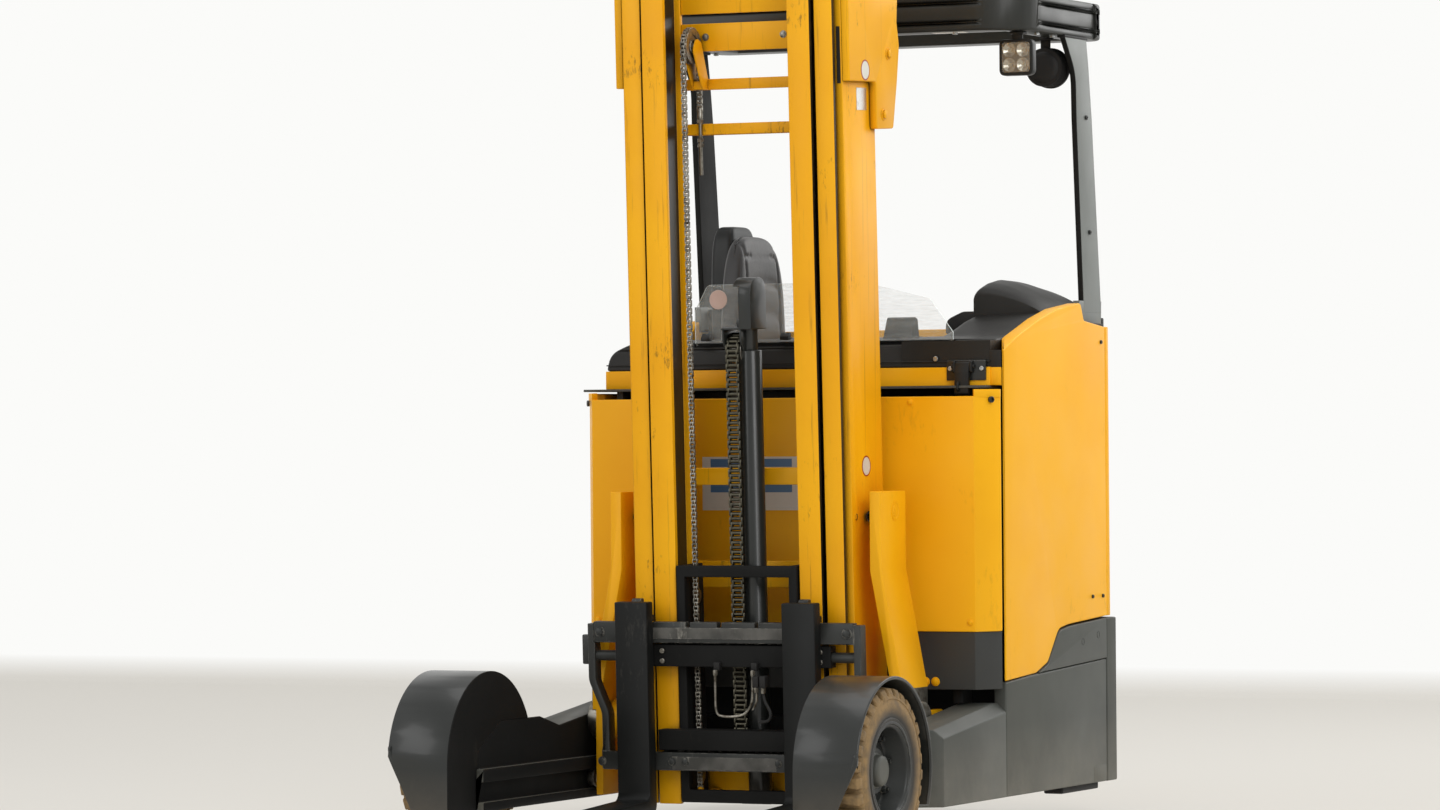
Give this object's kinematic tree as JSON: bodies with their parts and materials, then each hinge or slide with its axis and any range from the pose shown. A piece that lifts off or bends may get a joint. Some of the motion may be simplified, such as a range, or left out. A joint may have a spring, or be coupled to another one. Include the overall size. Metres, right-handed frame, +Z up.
{
  "type": "reach truck",
  "caption": "Electric reach truck with large load wheels, sideways seat under a cantilever roof, and a tilting three-stage mast with side-shifting forks.",
  "frame": {"origin": "on the floor under the centre of the whole truck, forks included", "axes": "+Z up, -Y the way the forks point, +X to the truck's left"},
  "size_m": [1.396, 2.4717, 2.5564],
  "materials": {
    "yellow_paint": "semi-gloss yellow paint, worn on the rails",
    "grey_paint": "textured dark grey paint",
    "black_paint": "satin black paint, scuffed",
    "fork_steel": "black paint over forged steel",
    "bright_steel": "ground steel",
    "chain_steel": "oiled chain steel",
    "tyre_rubber": "dusty brown rubber",
    "drive_tread": "polyurethane tread",
    "rim_steel": "dark painted steel",
    "black_plastic": "grained black plastic",
    "roof_plastic": "dark grey moulded plastic",
    "seat_cover": "black seat cover",
    "clear_sheet": "clear polycarbonate",
    "battery_case": "dark grey steel tank",
    "panel_skin": "yellow painted sheet panel"
  },
  "bodies": {
    "root": {"wheel_arms": "grey_paint", "load_fenders": "black_paint", "load_axles": "bright_steel", "chassis_frame": "black_paint", "side_sills": "grey_paint", "corner_covers": "grey_paint", "anti_tip_pads": "black_plastic", "rear_bumper": "grey_paint", "battery_cover": "yellow_paint", "battery_tray": "grey_paint", "battery": "battery_case", "battery_lid": "yellow_paint", "side_panel_left": "panel_skin", "side_panel_right": "panel_skin", "rear_hood": "panel_skin", "cab_floor": "black_paint", "motor_hood": "black_plastic", "deck_front": "yellow_paint", "pedals": "black_plastic", "console_cover": "black_plastic", "instrument_hood": "black_plastic", "screen": "clear_sheet", "display": "black_plastic", "seat_base": "black_plastic", "seat_cushion": "seat_cover", "seat_backrest": "seat_cover", "armrest": "black_plastic", "guard_posts": "grey_paint", "guard_roof": "roof_plastic", "work_lamps": "black_plastic"},
    "steer_turret": {"drive_unit": "grey_paint"},
    "drive_wheel": {"drive_tyre": "drive_tread", "drive_rim": "rim_steel"},
    "load_wheel_left": {"load_tyre_left": "tyre_rubber", "load_rim_left": "rim_steel"},
    "load_wheel_right": {"load_tyre_right": "tyre_rubber", "load_rim_right": "rim_steel"},
    "steering_wheel": {"steering_wheel": "black_plastic"},
    "reach_carriage": {"reach_uprights": "yellow_paint", "reach_beam": "yellow_paint", "tilt_cylinders": "black_paint"},
    "tilt_rods": {"tilt_rods": "bright_steel"},
    "outer_mast": {"outer_mast_rails": "yellow_paint", "outer_mast_crossbars": "yellow_paint", "mast_head_plates": "yellow_paint", "lift_cylinders": "black_paint"},
    "middle_mast": {"middle_mast_rails": "yellow_paint", "middle_mast_crossbars": "yellow_paint", "lift_rods": "bright_steel"},
    "inner_mast": {"inner_mast_rails": "yellow_paint", "inner_mast_crossbars": "yellow_paint", "free_lift_cylinder": "black_paint"},
    "free_lift_rod": {"free_lift_rod": "black_paint", "chain_pulley": "rim_steel", "lift_chains": "chain_steel"},
    "fork_carriage": {"carriage_frame": "black_paint"},
    "side_shift": {"side_shift_frame": "black_paint", "fork_left": "fork_steel", "fork_right": "fork_steel"}
  },
  "joints": [
    {"name": "drive_steer", "type": "hinge", "parent": "root", "child": "steer_turret", "pos_m": [0, 0.92757, 0.171], "axis": [0, 0, 1], "range_deg": [-90, 90]},
    {"name": "drive_roll", "type": "hinge", "parent": "steer_turret", "child": "drive_wheel", "pos_m": [0, 0.92757, 0.171], "axis": [1, 0, 0], "continuous": true},
    {"name": "load_roll_left", "type": "hinge", "parent": "root", "child": "load_wheel_left", "pos_m": [0.6035, -0.52243, 0.225], "axis": [1, 0, 0], "continuous": true},
    {"name": "load_roll_right", "type": "hinge", "parent": "root", "child": "load_wheel_right", "pos_m": [-0.6035, -0.52243, 0.225], "axis": [1, 0, 0], "continuous": true},
    {"name": "steering_wheel_turn", "type": "hinge", "parent": "root", "child": "steering_wheel", "pos_m": [0.21, 1.02257, 1.13], "axis": [0, 0, 1], "continuous": true},
    {"name": "mast_reach", "type": "slide", "parent": "root", "child": "reach_carriage", "axis": [0, -1, 0], "range_m": [0, 0.6]},
    {"name": "mast_tilt", "type": "hinge", "parent": "reach_carriage", "child": "outer_mast", "pos_m": [0, 0.11657, 0.317], "axis": [-1, 0, 0], "range_deg": [0, 3]},
    {"name": "tilt_rod_slide", "type": "slide", "parent": "reach_carriage", "child": "tilt_rods", "axis": [0, 1, 0], "range_m": [0, 0.032]},
    {"name": "mast_stage_two", "type": "slide", "parent": "outer_mast", "child": "middle_mast", "axis": [0, -0.0366, 0.9993], "range_m": [0, 1.65]},
    {"name": "mast_stage_three", "type": "slide", "parent": "middle_mast", "child": "inner_mast", "axis": [0, -0.0366, 0.9993], "range_m": [0, 1.65]},
    {"name": "free_lift", "type": "slide", "parent": "inner_mast", "child": "free_lift_rod", "axis": [0, -0.0366, 0.9993], "range_m": [0, 0.825], "deforming": ["lift_chains"]},
    {"name": "carriage_lift", "type": "slide", "parent": "inner_mast", "child": "fork_carriage", "axis": [0, -0.0366, 0.9993], "range_m": [0, 1.65]},
    {"name": "side_shift_slide", "type": "slide", "parent": "fork_carriage", "child": "side_shift", "axis": [1, 0, 0], "range_m": [-0.048, 0.102]}
  ],
  "couplings": [
    {"joint": "tilt_rod_slide", "follows": "mast_tilt", "m_per_rad": 0.572},
    {"joint": "mast_stage_three", "follows": "mast_stage_two", "ratio": 1},
    {"joint": "free_lift", "follows": "carriage_lift", "ratio": 0.5}
  ]
}
